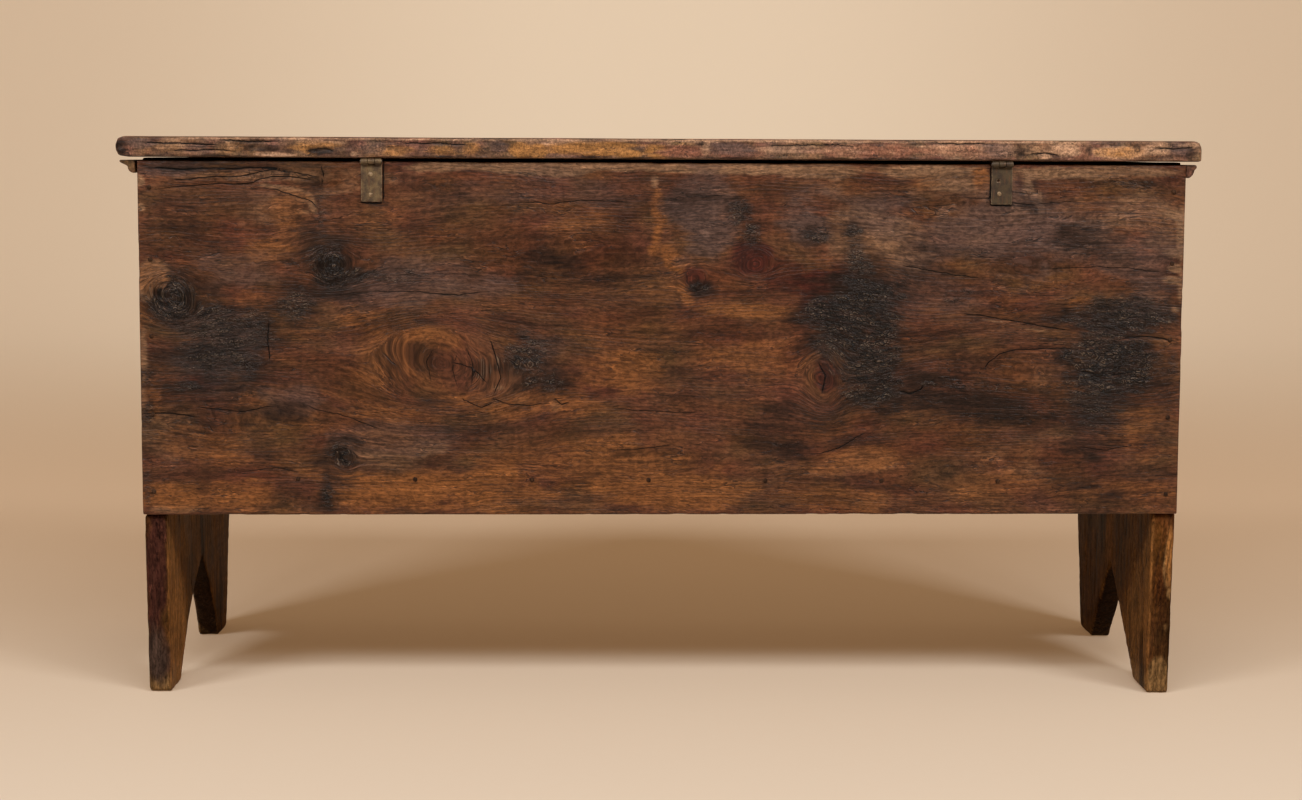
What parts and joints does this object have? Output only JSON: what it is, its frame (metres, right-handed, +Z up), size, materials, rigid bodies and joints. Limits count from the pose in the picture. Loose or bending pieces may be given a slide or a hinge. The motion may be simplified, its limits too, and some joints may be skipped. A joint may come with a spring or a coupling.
{
  "type": "plank chest",
  "caption": "Plank chest on V-notched board feet, with nailed boards, a thick hinged lid, moulded strips under it and small strap hinges at the back.",
  "frame": {"origin": "on the floor under the middle of the closed lid", "axes": "+X along the length, to the right of someone behind the chest; +Y from the hinged back to the front; +Z up"},
  "size_m": [1.2398, 0.5006, 0.6485],
  "materials": {
    "plank_wood": "old waxed softwood, dark reddish brown, knotty, with burnt patches",
    "lid_wood": "old waxed softwood, its edges worn to a lighter tan",
    "end_wood": "old softwood, dark brown, worn pale at the foot",
    "bottom_wood": "dry unwaxed softwood",
    "moulding_wood": "old waxed softwood",
    "hinge_iron": "old wrought strap with a brown and greenish patina",
    "nail_iron": "dark wrought iron"
  },
  "bodies": {
    "case": {"back_board": "plank_wood", "front_board": "plank_wood", "left_end_board": "end_wood", "right_end_board": "end_wood", "bottom_board": "bottom_wood", "left_moulding": "moulding_wood", "right_moulding": "moulding_wood", "front_moulding": "moulding_wood", "left_hinge_case_leaf": "hinge_iron", "right_hinge_case_leaf": "hinge_iron", "left_hinge_pin": "hinge_iron", "right_hinge_pin": "hinge_iron", "back_board_nails": "nail_iron", "front_board_nails": "nail_iron", "bottom_board_nails": "nail_iron", "left_hinge_case_nails": "nail_iron", "right_hinge_case_nails": "nail_iron", "left_moulding_nails": "nail_iron", "right_moulding_nails": "nail_iron", "front_moulding_nails": "nail_iron"},
    "lid": {"lid_board": "lid_wood", "left_hinge_lid_leaf": "hinge_iron", "right_hinge_lid_leaf": "hinge_iron", "left_hinge_lid_nails": "nail_iron", "right_hinge_lid_nails": "nail_iron"}
  },
  "joints": [
    {"name": "lid_hinge", "type": "hinge", "parent": "case", "child": "lid", "pos_m": [0.00355, -0.24655, 0.6207], "axis": [1, 0, 0], "range_deg": [0, 150]}
  ]
}
